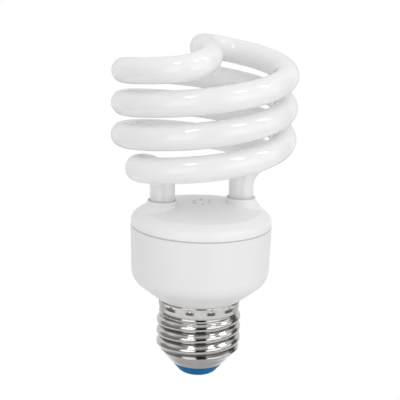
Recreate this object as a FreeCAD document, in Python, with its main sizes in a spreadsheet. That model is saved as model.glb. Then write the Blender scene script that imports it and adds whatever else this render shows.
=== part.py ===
import FreeCAD, Part
import Sketcher
import math
import os

V = FreeCAD.Vector
doc = FreeCAD.newDocument("SpiralLamp")

# Driving sizes in millimetres, angles in degrees
DRIVING = [
    # cap
    ("contact_radius", 2.9),
    ("contact_drop", 0.5),
    ("insulator_foot_share", 0.659),
    ("insulator_waist_share", 0.7952),
    ("insulator_waist_height", 2.2),
    ("shell_foot_share", 0.6336),
    ("shell_foot_height", 4.2),
    ("shell_sheet", 0.3),
    ("thread_radius", 13.1),
    ("cone_length", 5.0),
    ("barrel_length", 12.1),
    ("rim_length", 4.3),
    ("rim_step", 0.15),
    ("waist_step", 0.82),
    ("punch_count", 12),
    ("punch_radius", 1.0),
    ("punch_depth", 0.16),
    # housing
    ("housing_radius", 21.75),
    ("housing_foot_step", 0.5),
    ("bowl_corner_step", 0.5),
    ("bowl_depth", 6.2),
    ("bowl_round", 6.0),
    ("bowl_wall_height", 16.8),
    ("housing_wall", 1.5),
    ("neck_clearance", 0.38),
    ("neck_wall", 1.3),
    ("neck_length", 7.1),
    ("ledge_width", 1.7),
    ("moving_gap", 0.2),
    # cover
    ("shoulder_rise", 2.5),
    ("shoulder_round", 2.0),
    ("dome_edge_inset", 3.35),
    ("dome_edge_rise", 2.2),
    ("dome_top_rise", 2.3),
    ("dome_curve", 76.0),
    ("cover_wall", 1.4),
    ("collar_rise", 1.1),
    ("collar_wall", 0.55),
    ("vent_radius", 0.6),
    ("vent_circle", 2.6),
    ("vent_count", 6),
    # glass tube
    ("tube_radius", 3.85),
    ("coil_radius", 24.25),
    ("strand_pitch", 19.36),
    ("leg_inset", 9.3),
    ("leg_end_rise", 2.0),
    ("leg_straight", 3.9),
    ("coil_foot_rise", 8.83),
    ("lead_rise", 9.9),
    ("lead_reach", 14.6),
    ("lead_angle", 218.4),
    ("bridge_angle", 229.1),
    ("bridge_rise", 3.1),
    ("bridge_start", 9.8),
    ("bridge_middle", 18.4),
    ("bridge_heading", 86.8),
    # circuit board
    ("board_depth", 4.4),
    ("board_thickness", 1.6),
    ("lead_radius", 0.3),
]

sheet = doc.addObject("Spreadsheet::Sheet", "Sizes")
for row, (alias, number) in enumerate(DRIVING, start=1):
    sheet.set("A%d" % row, alias)
    sheet.set("B%d" % row, str(number))
    sheet.setAlias("B%d" % row, alias)
doc.recompute()


class Size:
    """A length that carries its number and the sheet expression it comes from."""

    def __init__(self, number, text):
        self.number = float(number)
        self.text = text

    def __add__(self, other):
        other = as_size(other)
        return Size(self.number + other.number, "(%s + %s)" % (self.text, other.text))

    def __sub__(self, other):
        other = as_size(other)
        return Size(self.number - other.number, "(%s - %s)" % (self.text, other.text))

    def __mul__(self, other):
        other = as_size(other)
        return Size(self.number * other.number, "(%s * %s)" % (self.text, other.text))

    def __truediv__(self, other):
        other = as_size(other)
        return Size(self.number / other.number, "(%s / %s)" % (self.text, other.text))

    def __neg__(self):
        return Size(-self.number, "(0 - %s)" % self.text)


def as_size(thing):
    if isinstance(thing, Size):
        return thing
    return Size(thing, "%.6f" % thing if thing >= 0 else "(0 - %.6f)" % -thing)


def size(alias):
    return Size(getattr(sheet, alias), "Sizes." + alias)


def bind(item, prop, thing):
    item.setExpression(prop, as_size(thing).text)


def place(item, x, y, z):
    x, y, z = as_size(x), as_size(y), as_size(z)
    item.Placement.Base = V(x.number, y.number, z.number)
    bind(item, "Placement.Base.x", x)
    bind(item, "Placement.Base.y", y)
    bind(item, "Placement.Base.z", z)


# Set to a size, it makes typed widths of what stands on the board go with the board's radius
board_unit = None


def across(thing):
    if board_unit is None or isinstance(thing, Size):
        return thing
    return board_unit * thing


# Solids from primitives, each bound to the sheet
def cylinder(name, radius, length, x, y, z, axis=None):
    radius, x, y = across(radius), across(x), across(y)
    if axis is not None:
        length = across(length)
    item = doc.addObject("Part::Cylinder", name)
    bind(item, "Radius", radius)
    bind(item, "Height", length)
    if axis is not None:
        item.Placement.Rotation = FreeCAD.Rotation(V(0, 0, 1), axis)
    place(item, x, y, z)
    return item


def cone(name, foot, top, length, x, y, z):
    x, y = across(x), across(y)
    item = doc.addObject("Part::Cone", name)
    bind(item, "Radius1", foot)
    bind(item, "Radius2", top)
    bind(item, "Height", length)
    place(item, x, y, z)
    return item


def ball(name, radius, x, y, z):
    radius, x, y = across(radius), across(x), across(y)
    item = doc.addObject("Part::Sphere", name)
    bind(item, "Radius", radius)
    place(item, x, y, z)
    return item


def box(name, long, wide, tall, x, y, z):
    """A box centred on x and y that stands on z."""
    long, wide, x, y = across(long), across(wide), across(x), across(y)
    item = doc.addObject("Part::Box", name)
    bind(item, "Length", long)
    bind(item, "Width", wide)
    bind(item, "Height", tall)
    place(item, as_size(x) - as_size(long) / 2, as_size(y) - as_size(wide) / 2, z)
    return item


def fuse(name, items):
    item = doc.addObject("Part::MultiFuse", name)
    item.Shapes = items
    return item


def cut(name, base, tool):
    item = doc.addObject("Part::Cut", name)
    item.Base = base
    item.Tool = tool
    return item


def group(name, items):
    item = doc.addObject("Part::Compound", name)
    item.Links = items
    return item


# Turned bodies: a closed half section in the XZ plane, revolved about Z
def plane_of(body, role):
    for feature in body.Origin.OriginFeatures:
        if feature.Role == role:
            return feature
    return None


def arc_between(start, end, radius):
    """Arc from start to end; a positive radius keeps its centre on the left of the way there."""
    half = (end - start) * 0.5
    reach = math.sqrt(max(radius * radius - half.Length ** 2, 0.0))
    side = V(-half.y, half.x, 0).normalize() * (1 if radius > 0 else -1)
    centre = start + half + side * reach
    middle = centre - side * abs(radius)
    return Part.Arc(start, middle, end)


def turned(name, corners):
    """corners: (radius, height) or (radius, height, arc radius to the next corner)."""
    body = doc.addObject("PartDesign::Body", name)
    sketch = body.newObject("Sketcher::SketchObject", name + "_section")
    sketch.AttachmentSupport = (plane_of(body, "XZ_Plane"), "")
    sketch.MapMode = "FlatFace"
    spots = [(as_size(c[0]), as_size(c[1])) for c in corners]
    points = [V(a.number, b.number, 0) for a, b in spots]
    total = len(corners)
    for index in range(total):
        start, end = points[index], points[(index + 1) % total]
        if len(corners[index]) > 2:
            sketch.addGeometry(arc_between(start, end, as_size(corners[index][2]).number))
        else:
            sketch.addGeometry(Part.LineSegment(start, end))
    # an arc may be stored with its ends swapped, so its ends are found by place
    ends = []
    for index in range(total):
        piece = sketch.Geometry[index]
        swapped = (piece.StartPoint - points[index]).Length > (piece.EndPoint - points[index]).Length
        ends.append((2, 1) if swapped else (1, 2))
    for index in range(total):
        after = (index + 1) % total
        sketch.addConstraint(
            Sketcher.Constraint("Coincident", index, ends[index][1], after, ends[after][0])
        )
    for index, (across, up) in enumerate(spots):
        first = ends[index][0]
        if abs(across.number) < 1e-9:
            sketch.addConstraint(Sketcher.Constraint("PointOnObject", index, first, -2))
        else:
            row = sketch.addConstraint(
                Sketcher.Constraint("DistanceX", -1, 1, index, first, across.number)
            )
            sketch.setExpression("Constraints[%d]" % row, across.text)
        row = sketch.addConstraint(
            Sketcher.Constraint("DistanceY", -1, 1, index, first, up.number)
        )
        sketch.setExpression("Constraints[%d]" % row, up.text)
        if len(corners[index]) > 2:
            bend = as_size(corners[index][2])
            row = sketch.addConstraint(Sketcher.Constraint("Radius", index, abs(bend.number)))
            sketch.setExpression("Constraints[%d]" % row, "abs(%s)" % bend.text)
    turn = body.newObject("PartDesign::Revolution", name + "_turn")
    turn.Profile = (sketch, [""])
    turn.ReferenceAxis = (sketch, ["V_Axis"])
    turn.Angle = 360
    body.Tip = turn
    sketch.Visibility = False
    doc.recompute()
    return body


def ring_edges(shape, radius, height):
    """Names of the circular edges of this radius at this height."""
    found = []
    for number, edge in enumerate(shape.Edges, start=1):
        if edge.Degenerated or not isinstance(edge.Curve, Part.Circle):
            continue
        curve = edge.Curve
        if abs(curve.Radius - radius) < 0.02 and abs(edge.CenterOfMass.z - height) < 0.02:
            found.append("Edge%d" % number)
    return found


def rounded(body, rings, radius):
    """Rounds the circular edges given as (radius, height) pairs."""
    before = body.Tip
    names = []
    for across, up in rings:
        names += ring_edges(before.Shape, as_size(across).number, as_size(up).number)
    fillet = body.newObject("PartDesign::Fillet", body.Name + "_round%d" % len(body.Group))
    fillet.Base = (before, names)
    bind(fillet, "Radius", radius)
    body.Tip = fillet
    doc.recompute()
    return body


# Shared radii, and heights counted up from the end contact, each from the one below
gap = size("moving_gap")
sheet_gap = size("shell_sheet")
crest = size("thread_radius")
foot_radius = crest * size("shell_foot_share")
shell_inner = foot_radius - sheet_gap
insulator_waist = foot_radius * size("insulator_waist_share")
insulator_foot = insulator_waist * size("insulator_foot_share")
rim = crest - size("rim_step")
waist = crest - size("waist_step")
neck_radius = waist - sheet_gap - size("neck_clearance")
neck_bore = neck_radius - size("neck_wall")
housing_radius = size("housing_radius")
corner_radius = housing_radius - size("bowl_corner_step")
housing_foot = rim + size("housing_foot_step")
bore = housing_radius - size("housing_wall")
board_radius = bore - gap * 2 - 0.05
skirt_radius = bore - gap - 0.15
dome_edge_radius = housing_radius - size("dome_edge_inset")
leg = housing_radius - size("leg_inset")
shell_foot = size("shell_foot_height")
cone_top = shell_foot + size("cone_length")
barrel_top = cone_top + size("barrel_length")
cap_top = barrel_top + size("rim_length")
neck_foot = cap_top - size("neck_length")
corner_height = cap_top + size("bowl_depth")
seam = corner_height + size("bowl_wall_height")
board_top = seam - size("board_depth")
board_under = board_top - size("board_thickness")
shoulder = seam + size("shoulder_rise")
dome_edge = shoulder + size("dome_edge_rise")
dome_top = dome_edge + size("dome_top_rise")
collar_top = dome_top + size("collar_rise")
leg_end = board_top + size("leg_end_rise")
straight_top = collar_top + size("leg_straight")
coil_foot = straight_top + size("coil_foot_rise")

nodes = []


def keep(item, label):
    item.Label = label
    nodes.append((label, item))
    return item


# Centre contact: a riveted eyelet, disc below and head above the insulator floor
foot = size("contact_drop")
floor_top = size("insulator_waist_height") + 0.8
contact = turned("ContactBody", [
    (0, 0), (size("contact_radius") - 0.35, 0, 0.45), (size("contact_radius"), foot - 0.12),
    (size("contact_radius"), foot), (1.2, foot), (1.2, floor_top), (2.2, floor_top),
    (2.2, floor_top + 0.5), (0, floor_top + 0.5),
])
keep(contact, "centre_contact")

# Cap insulator: a coloured moulding that closes the foot of the screw shell
insulator = turned("InsulatorBody", [
    (1.3, foot), (insulator_foot, foot, 3.6),
    (insulator_waist, size("insulator_waist_height"), 9.0),
    (foot_radius - 0.04, shell_foot), (shell_inner - 0.15, shell_foot),
    (shell_inner + 1.0, shell_foot + 1.5), (shell_inner + 1.0, shell_foot + 2.0),
    (5.5, shell_foot + 2.0), (5.5, floor_top), (1.3, floor_top),
])
keep(insulator, "cap_insulator")


# Screw shell: one thin sheet, spun to a cone at the foot and flared to a rim; its barrel is at the thread's crests
shell_body = turned("ShellBody", [
    (foot_radius, shell_foot), (crest - 0.9, cone_top - 1.0, 1.6), (crest, cone_top + 0.3),
    (crest, barrel_top - 0.8), (waist, barrel_top), (waist, barrel_top + 0.7),
    (rim - 0.15, cap_top - 2.5), (rim, cap_top - 1.6), (rim, cap_top), (rim - sheet_gap, cap_top),
    (rim - sheet_gap, cap_top - 1.6), (rim - 0.15 - sheet_gap, cap_top - 2.4),
    (waist - sheet_gap, barrel_top + 0.8), (waist - sheet_gap, barrel_top - 0.12),
    (crest - sheet_gap, barrel_top - 0.95), (crest - sheet_gap, cone_top + 0.35, -1.3),
    (crest - 1.12, cone_top - 0.8), (shell_inner, shell_foot),
])
punches = []
for k in range(int(sheet.punch_count)):
    angle = math.radians(2.5 + 360.0 * k / sheet.punch_count)
    away = rim + size("punch_radius") - size("punch_depth")
    punches.append(ball("Punch%d" % k, size("punch_radius"), away * math.cos(angle),
                        away * math.sin(angle), cap_top - 1.0))
shell = cut("ScrewShell", shell_body, fuse("Punches", punches))
keep(shell, "screw_shell")

# Lower housing: a moulded bowl with a neck that the screw shell is punched onto
wall = size("housing_wall")
ledge_top = board_under
housing = turned("HousingBody", [
    (neck_bore, neck_foot), (neck_radius, neck_foot),
    (neck_radius, cap_top - 3.8), (rim - 0.5, cap_top - 2.0),
    (rim - 0.5, cap_top), (housing_foot, cap_top),
    (corner_radius, corner_height), (housing_radius, seam - 0.3), (housing_radius - 0.3, seam),
    (bore, seam), (bore - 0.15, ledge_top), (bore - size("ledge_width"), ledge_top),
    (bore - size("ledge_width"), ledge_top - 1.4), (bore - 0.3, ledge_top - 2.8),
    (corner_radius - wall, corner_height + 0.6),
    (neck_bore, cap_top + 0.9),
])
rounded(housing, [(corner_radius, corner_height)], size("bowl_round"))
rounded(housing, [(corner_radius - wall, corner_height + 0.6)], size("bowl_round") - wall)
rounded(housing, [(housing_foot, cap_top)], 0.3)
keep(housing, "lower_housing")

# Upper cover: a moulded dome with a skirt inside the bowl, two collars, two sockets and air vents
glass = size("tube_radius")
collar_bore = glass + gap
collar_radius = collar_bore + size("collar_wall")
socket_bore = glass + 0.5
socket_foot = board_top + 3.3
rise = size("cover_wall")
cover_body = turned("CoverBody", [
    (skirt_radius, seam), (housing_radius - 0.4, seam), (housing_radius - 0.1, seam + 0.3),
    (housing_radius - 0.15, shoulder),
    (dome_edge_radius, dome_edge, size("dome_curve")),
    (0, dome_top),
    (0, dome_top - rise),
    (dome_edge_radius - 1.6, dome_edge - rise),
    (skirt_radius - rise, shoulder - 1.1), (skirt_radius - rise, board_top),
    (skirt_radius, board_top),
])
rounded(cover_body, [(housing_radius - 0.15, shoulder)], size("shoulder_round"))
solids = [cover_body]
holes = []
for side, tag in ((1, "Right"), (-1, "Left")):
    away = leg * side
    collar = cylinder("Collar" + tag, collar_radius, collar_top - socket_foot,
                      away, 0, socket_foot)
    socket = cylinder("Socket" + tag, socket_bore + 0.95, dome_edge - 0.9 - socket_foot,
                      away, 0, socket_foot)
    high = doc.addObject("Part::Circle", "FlareTop" + tag)
    bind(high, "Radius", collar_radius + 0.1)
    place(high, away, 0, collar_top - 1.0)
    low = doc.addObject("Part::Circle", "FlareFoot" + tag)
    bind(low, "Radius", collar_radius + 1.5)
    place(low, (leg + 1.5) * side, 0, dome_edge - 1.0)
    flare = doc.addObject("Part::Loft", "Flare" + tag)
    flare.Sections = [low, high]
    flare.Solid = True
    flare.Ruled = True
    solids += [collar, socket, flare]
    holes.append(cylinder("Bore" + tag, collar_bore, 20, away, 0, socket_foot - 1))
    holes.append(cylinder("SocketBore" + tag, socket_bore, dome_edge - 2.0 - socket_foot + 1,
                          away, 0, socket_foot - 1))
for k in range(int(sheet.vent_count)):
    angle = math.radians(20.0 + 360.0 * k / sheet.vent_count)
    circle = size("vent_circle")
    holes.append(cylinder("Vent%d" % k, size("vent_radius"), 6, circle * math.cos(angle),
                          circle * math.sin(angle), dome_top - 4))
cover = cut("Cover", fuse("CoverSolid", solids), fuse("CoverHoles", holes))
keep(cover, "upper_cover")


# Glass tube: two strands of one tube, wound as a double helix and joined by a bridge over the axis
def along(start, first, second, end, steps):
    """Spots and headings on a smooth curve that leaves start towards first and reaches end from second."""
    spots = []
    for k in range(steps + 1):
        part = k / float(steps)
        rest = 1.0 - part
        spot = (start * rest ** 3 + first * (3 * rest * rest * part)
                + second * (3 * rest * part * part) + end * part ** 3)
        way = (first - start) * rest ** 2 + (second - first) * (2 * rest * part) + (end - second) * part ** 2
        spots.append((spot, way.normalize()))
    return spots


def strand_spots():
    """Spots with headings, from the left leg's end to the middle of the bridge."""
    radius, pitch = sheet.coil_radius, sheet.strand_pitch
    climb = pitch / (2 * math.pi * radius)
    first, last = sheet.lead_angle, 540.0 + sheet.bridge_angle

    def on_coil(degrees):
        angle = math.radians(degrees)
        level = coil_foot.number + pitch * (degrees - first) / 360.0
        return V(radius * math.cos(angle), radius * math.sin(angle), level)

    def heading(degrees, slope):
        angle = math.radians(degrees + 90.0)
        return V(math.cos(angle), math.sin(angle), slope).normalize()

    leg_top = V(-leg.number, 0, straight_top.number)
    joined, leaving = on_coil(first), on_coil(last)
    middle = V(0, 0, leaving.z + sheet.bridge_rise)
    through = heading(sheet.bridge_heading + 90.0, 0.0)
    spots = [(V(-leg.number, 0, leg_end.number), V(0, 0, 1))]
    spots += along(leg_top, leg_top + V(0, 0, sheet.lead_rise),
                   joined - heading(first, climb) * sheet.lead_reach, joined, 4)
    turns = int(round((last - first) / 60.0))
    for k in range(1, turns):
        angle = first + (last - first) * k / turns
        spots.append((on_coil(angle), heading(angle, climb)))
    spots += along(leaving, leaving + heading(last, climb) * sheet.bridge_start,
                   middle - through * sheet.bridge_middle, middle, 4)
    return spots


half = strand_spots()
other = [(V(-p.x, -p.y, p.z), V(w.x, w.y, -w.z)) for p, w in half]
stations = half + other[-2::-1]


def arc(start, corner, end):
    """The arc from start to end whose end tangents meet at corner, or a line where they are in line."""
    middle = (start + end) * 0.5
    out = corner - middle
    chord = (end - start).Length
    if out.Length < 1e-6 * chord:
        return Part.makeLine(start, end)
    lean = math.atan2(out.Length, chord / 2)
    lift = chord / 2 * math.tan(lean / 2)
    return Part.Arc(start, middle + out.normalize() * lift, end).toShape()


def arcs_through(stations):
    """Two arcs between each pair of stations, each given as a spot and the unit way the line goes there."""
    edges = []
    for (start, way), (end, way_out) in zip(stations, stations[1:]):
        span = end - start
        bend = 1.0 - way.dot(way_out)
        along_both = span.dot(way + way_out)
        if bend < 1e-9:
            reach = span.dot(span) / (2.0 * along_both)
        else:
            reach = (math.sqrt(along_both ** 2 + 2.0 * bend * span.dot(span)) - along_both) / (2.0 * bend)
        first_corner = start + way * reach
        last_corner = end - way_out * reach
        joint = (first_corner + last_corner) * 0.5
        edges += [arc(start, first_corner, joint), arc(joint, last_corner, end)]
    return edges


centre_line = doc.addObject("Part::Feature", "TubeCentreLine")
centre_line.Shape = Part.Wire(arcs_through(stations))
tube_section = doc.addObject("Part::Circle", "TubeSection")
bind(tube_section, "Radius", glass)
place(tube_section, -leg, 0, leg_end)
tube = doc.addObject("Part::Sweep", "Tube")
tube.Sections = [tube_section]
tube.Spine = (centre_line, ["Edge%d" % (k + 1) for k in range(len(centre_line.Shape.Edges))])
tube.Solid = True
tube.Frenet = False
keep(tube, "discharge_tube")

# Tube cement: a cup of silicone round each leg end, under the socket
for side, tag in ((1, "right"), (-1, "left")):
    away = leg * side
    cup = fuse("CementSolid" + tag, [
        cylinder("CementCup" + tag, socket_bore + 0.9, socket_foot - leg_end + 1.0, away, 0, leg_end - 1.0),
        cylinder("CementRing" + tag, socket_bore - 0.05, 3.2, away, 0, socket_foot - 0.2),
    ])
    hollow = fuse("CementHollow" + tag, [
        cylinder("CementSeat" + tag, glass + 0.05, 12, away, 0, leg_end),
        cylinder("CementEye" + tag, 2.2, 4, away, 0, leg_end - 2),
    ])
    keep(cut("Cement" + tag, cup, hollow), "tube_cement_" + tag)

# Circuit board parts: each lead passes through a hole and ends in a solder cone on top
board_unit = board_radius / 19.8
unit = board_unit.number
lead_spots = []
lead = size("lead_radius")


def legs(name, places, start):
    items = []
    for k, (x, y) in enumerate(places):
        lead_spots.append((x, y))
        items.append(cylinder("%sLead%d" % (name, k), lead, board_top + 0.8 - start, x, y, start))
        items.append(cone("%sSolder%d" % (name, k), lead + 0.55, lead + 0.05, 0.6, x, y, board_top))
    return items


# Bulk capacitor: an aluminium can in a sleeve that reaches down into the neck
can = [cylinder("Can", 5.0, board_under - cap_top - 2.2, 2.5, -3.5, cap_top + 2.0)]
can.append(cylinder("Bung", 4.3, 0.4, 2.5, -3.5, board_under - 0.4))
keep(fuse("BulkCapacitor", can + legs("Bulk", [(0.0, -3.5), (5.0, -3.5)], board_under - 1)), "bulk_capacitor")

# Film capacitors: dipped boxes that stand on the board
for label, long, wide, tall, x, y, places in (
    ("resonant_capacitor", 5.0, 9.0, 9.6, -13.0, -5.0, [(-12.6, -8.6), (-12.6, -1.6)]),
    ("coupling_capacitor", 3.0, 7.0, 7.0, 2.4, 8.5, [(2.4, 6.5), (2.4, 10.5)]),
    ("starting_capacitor", 7.0, 3.0, 6.5, 2.5, 15.0, [(0.5, 15.0), (4.5, 15.0)]),
):
    stem = "".join(word.title() for word in label.split("_"))
    block = box(stem + "Block", long, wide, tall, x, y, board_under - tall)
    keep(fuse(stem, [block] + legs(stem, places, board_under - 1)), label)

# Switching transistors: flat plastic bodies on three legs
for label, long, wide, x, y, places in (
    ("transistor_1", 2.7, 8.0, 13.75, -4.4, [(13.75, -6.7), (13.75, -4.4), (13.75, -2.1)]),
    ("transistor_2", 8.0, 2.7, -6.0, -13.45, [(-8.3, -13.45), (-6.0, -13.45), (-3.7, -13.45)]),
):
    stem = "".join(word.title() for word in label.split("_"))
    block = box(stem + "Block", long, wide, 10.0, x, y, board_under - 11.0)
    keep(fuse(stem, [block] + legs(stem, places, board_under - 2)), label)

# Rectifier: four diodes that stand on end, the lower lead bent back up to the board
diodes = []
for k, (x, y) in enumerate([(0.5, -11.2), (5.5, -11.2), (0.5, -15.0), (5.5, -15.0)]):
    stem = "Diode%d" % k
    parts = [cylinder(stem + "Body", 1.3, 5.0, x, y, board_under - 6.0)]
    parts.append(cylinder(stem + "Tail", lead, 1.0, x, y, board_under - 7.0))
    parts.append(cylinder(stem + "Bend", lead, 2.4, x, y, board_under - 7.0, V(1, 0, 0)))
    parts.append(ball(stem + "Turn", lead, x, y, board_under - 7.0))
    parts.append(ball(stem + "TurnBack", lead, x + 2.4, y, board_under - 7.0))
    parts += legs(stem + "A", [(x, y)], board_under - 2)
    parts += legs(stem + "B", [(x + 2.4, y)], board_under - 7.0)
    diodes.append(fuse(stem, parts))
keep(group("Rectifier", diodes), "rectifier_diodes")

# Thermistor: a disc on two legs between the transistor and the bulk capacitor
disc = cylinder("ThermistorDisc", 2.7, 2.4, 8.7, 0.2, board_under - 3.4, V(1, 0, 0))
keep(fuse("Thermistor", [disc] + legs("Thermistor", [(9.2, 2.2), (10.6, -1.8)], board_under - 3)),
     "ptc_thermistor")

# Ballast choke: two ferrite E cores on a bobbin with one winding
choke_x, choke_y = -8.5, 5.5
core_top = board_under - 1.0
core_mid = core_top - 5.3
for label, level, web in (("choke_core_upper", core_mid, core_top - 2.2),
                          ("choke_core_lower", core_mid - 5.3, core_mid - 5.3)):
    stem = "".join(word.title() for word in label.split("_"))
    blocks = [box(stem + "Back", 13.0, 6.0, 2.2, choke_x, choke_y, web)]
    for k, (shift, width) in enumerate(((-5.15, 2.7), (0.0, 3.7), (5.15, 2.7))):
        blocks.append(box("%sLimb%d" % (stem, k), width, 6.0, 5.3, choke_x + shift, choke_y, level))
    keep(fuse(stem, blocks), label)
window_low = core_mid - 3.1
bobbin_solid = fuse("BobbinSolid", [
    box("BobbinTube", 5.0, 7.2, 6.0, choke_x, choke_y, window_low + 0.1),
    box("BobbinFoot", 7.3, 10.6, 0.7, choke_x, choke_y, window_low + 0.1),
    box("BobbinHead", 7.3, 10.6, 0.7, choke_x, choke_y, window_low + 5.4),
    box("BobbinRailA", 7.3, 2.1, 4.0, choke_x, choke_y + 4.25, board_under - 4.0),
    box("BobbinRailB", 7.3, 2.1, 4.0, choke_x, choke_y - 4.25, board_under - 4.0),
] + legs("Bobbin", [(choke_x - 2.0, choke_y + 4.25), (choke_x + 2.0, choke_y + 4.25),
                    (choke_x - 2.0, choke_y - 4.25), (choke_x + 2.0, choke_y - 4.25)], board_under - 2))
keep(cut("Bobbin", bobbin_solid, box("BobbinEye", 3.9, 6.2, 8.0, choke_x, choke_y, window_low - 1)),
     "choke_bobbin")
winding = cut("ChokeWindingBlock", box("WindingOuter", 7.1, 9.8, 4.5, choke_x, choke_y, window_low + 0.85),
              box("WindingInner", 5.1, 7.3, 6.0, choke_x, choke_y, window_low))
winding_round = doc.addObject("Part::Fillet", "ChokeWinding")
winding_round.Base = winding
doc.recompute()
corners = []
for number, edge in enumerate(winding.Shape.Edges, start=1):
    middle_spot = edge.CenterOfMass
    if abs(edge.Length - 4.5) < 0.01 and abs(middle_spot.y / unit - choke_y) > 4.0:
        corners.append((number, 1.0, 1.0))
winding_round.Edges = corners
keep(winding_round, "choke_winding")

# Drive transformer: a small ferrite ring with three groups of turns
ring_x, ring_y = 10.5, 8.0
ring_core = cut("RingCore", cylinder("RingOuter", 4.5, 4.0, ring_x, ring_y, board_under - 4.45),
                cylinder("RingInner", 2.5, 6.0, ring_x, ring_y, board_under - 5))
keep(ring_core, "toroid_core")
turns = []
for bunch in range(3):
    for k in range(4):
        angle = 120.0 * bunch + 17.0 * k - 10.0
        stem = "Turn%d%d" % (bunch, k)
        outer = box(stem + "Outer", 2.9, 0.45, 4.9, 0, 0, 0)
        inner = box(stem + "Inner", 2.1, 1.0, 4.1, 0, 0, 0.4)
        loop = cut(stem, outer, inner)
        spot = V(3.5 * unit, 0, 0)
        spin = FreeCAD.Rotation(V(0, 0, 1), angle)
        loop.Placement = FreeCAD.Placement(spin.multVec(spot) + V(ring_x * unit, ring_y * unit, 0), spin)
        bind(loop, "Placement.Base.z", board_under - 4.9)
        turns.append(loop)
keep(group("RingTurns", turns), "toroid_windings")

# Line filter: a drum core with its winding
drum_x, drum_y = -6.5, -5.5
drum_out, drum_in = across(3.5), across(1.6)
drum = turned("DrumBody", [
    (0, board_under - 8.0), (drum_out, board_under - 8.0), (drum_out, board_under - 6.8),
    (drum_in, board_under - 6.8), (drum_in, board_under - 1.2), (drum_out, board_under - 1.2),
    (drum_out, board_under), (0, board_under),
])
drum.Placement.Base = V(drum_x * unit, drum_y * unit, 0)
keep(drum, "filter_core")
coil = cut("FilterWinding", cylinder("CoilOuter", 3.2, 5.5, drum_x, drum_y, board_under - 6.75),
           cylinder("CoilInner", 1.65, 7.0, drum_x, drum_y, board_under - 7.5))
keep(coil, "filter_winding")

# Small parts on the copper side
chips = []
for k, (x, y) in enumerate([(-0.5, 9.6), (4.4, 12.0), (-4.6, 12.6), (0.5, -8.2), (5.0, -13.0), (-4.4, -10.5)]):
    chips.append(box("Chip%d" % k, 3.2, 1.6, 0.55, x, y, board_top))
keep(group("Chips", chips), "chip_resistors")
keep(box("TriggerDiode", 4.3, 2.6, 2.0, -0.5, 1.5, board_top), "trigger_diode")

# Wire posts and the tube's lead wires
posts = []
wires = []
for x, y in ((12.45 + 1.2, 1), (12.45 - 1.2, -1), (-12.45 + 1.2, 1), (-12.45 - 1.2, -1)):
    stem = "Post%d" % (len(posts) + 1)
    near = leg * (1 if x > 0 else -1) + (x - math.copysign(12.45, x))
    lead_spots.append((near, 7.0 * y))
    posts.append(fuse(stem, [
        box(stem + "Pin", 1.0, 1.0, board_top + 3.2 - board_under, near, 7.0 * y, board_under),
        box(stem + "Shoulder", 1.6, 1.6, 0.4, near, 7.0 * y, board_top),
    ]))
    wires.append(fuse("Wire" + stem, [
        cylinder("Drop" + stem, 0.25, leg_end - board_top - 0.75, near, 0, board_top + 0.75),
        ball("Elbow" + stem, 0.25, near, 0, board_top + 0.75),
        cylinder("Run" + stem, 0.25, 6.5, near, 0, board_top + 0.75, V(0, y, 0)),
    ]))
keep(group("Posts", posts), "wire_posts")
keep(group("FilamentLeads", wires), "filament_leads")

# Circuit board: a round laminate with a hole for every lead
board_disc = cylinder("BoardDisc", board_radius, size("board_thickness"), 0, 0, board_under)
drills = []
for k, (x, y) in enumerate(lead_spots):
    clear = 0.85 if isinstance(x, Size) else lead + 0.12
    drills.append(cylinder("Drill%d" % k, clear, 4, x, y, board_under - 1))
keep(cut("Board", board_disc, fuse("Drills", drills)), "circuit_board")
board_unit = None

# Supply leads: the live one through a fusible resistor in the cap, the neutral one to the shell
fuse_low = floor_top + 4.0
keep(fuse("FuseResistor", [
    cylinder("FuseBody", 1.9, 9.0, 0, 0, fuse_low),
    cylinder("FuseTail", 0.35, fuse_low - floor_top - 0.5, 0, 0, floor_top + 0.5),
    cylinder("FuseHead", 0.35, 2.0, 0, 0, fuse_low + 9.0),
]), "fuse_resistor")


def run(name, spots, radius):
    """A round wire along straight runs with ball corners."""
    items = []
    for k, (start, end) in enumerate(zip(spots, spots[1:])):
        way = end - start
        piece = cylinder("%sRun%d" % (name, k), radius, way.Length, start.x, start.y, start.z, way)
        items.append(piece)
        if k:
            items.append(ball("%sCorner%d" % (name, k), radius, start.x, start.y, start.z))
    return fuse(name, items)


fuse_end = (fuse_low + 11.0).number
under = board_under.number
keep(run("LiveLead", [V(0, 0, fuse_end), V(0, 0, fuse_end + 1.5), V(-0.9, 4.0, fuse_end + 4.0),
                      V(-0.9, 4.0, under)], 0.5), "live_lead")
inner_wall = (waist - sheet_gap).number
lead_level = neck_foot.number - 0.9
lead_y = neck_bore.number - 0.9
keep(run("NeutralLead", [V(-0.4, inner_wall - 0.15, lead_level), V(-0.4, lead_y, lead_level),
                         V(-0.4, lead_y, under)], 0.5), "neutral_lead")

# Check every object, then write one file per sub-part
doc.recompute()
for item in doc.Objects:
    if "Invalid" in item.State or "Error" in item.State:
        raise RuntimeError("not built: %s" % item.Label)
os.makedirs("parts", exist_ok=True)
for label, item in nodes:
    if item.Shape.isNull() or not item.Shape.isValid():
        raise RuntimeError("bad shape: %s" % label)
    item.Shape.exportStep("parts/%s.step" % label)
    print(label, len(item.Shape.Solids), round(item.Shape.Volume, 2), item.Shape.BoundBox)
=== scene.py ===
import math

import bpy
import numpy as np
from mathutils import Matrix, Vector


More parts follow.
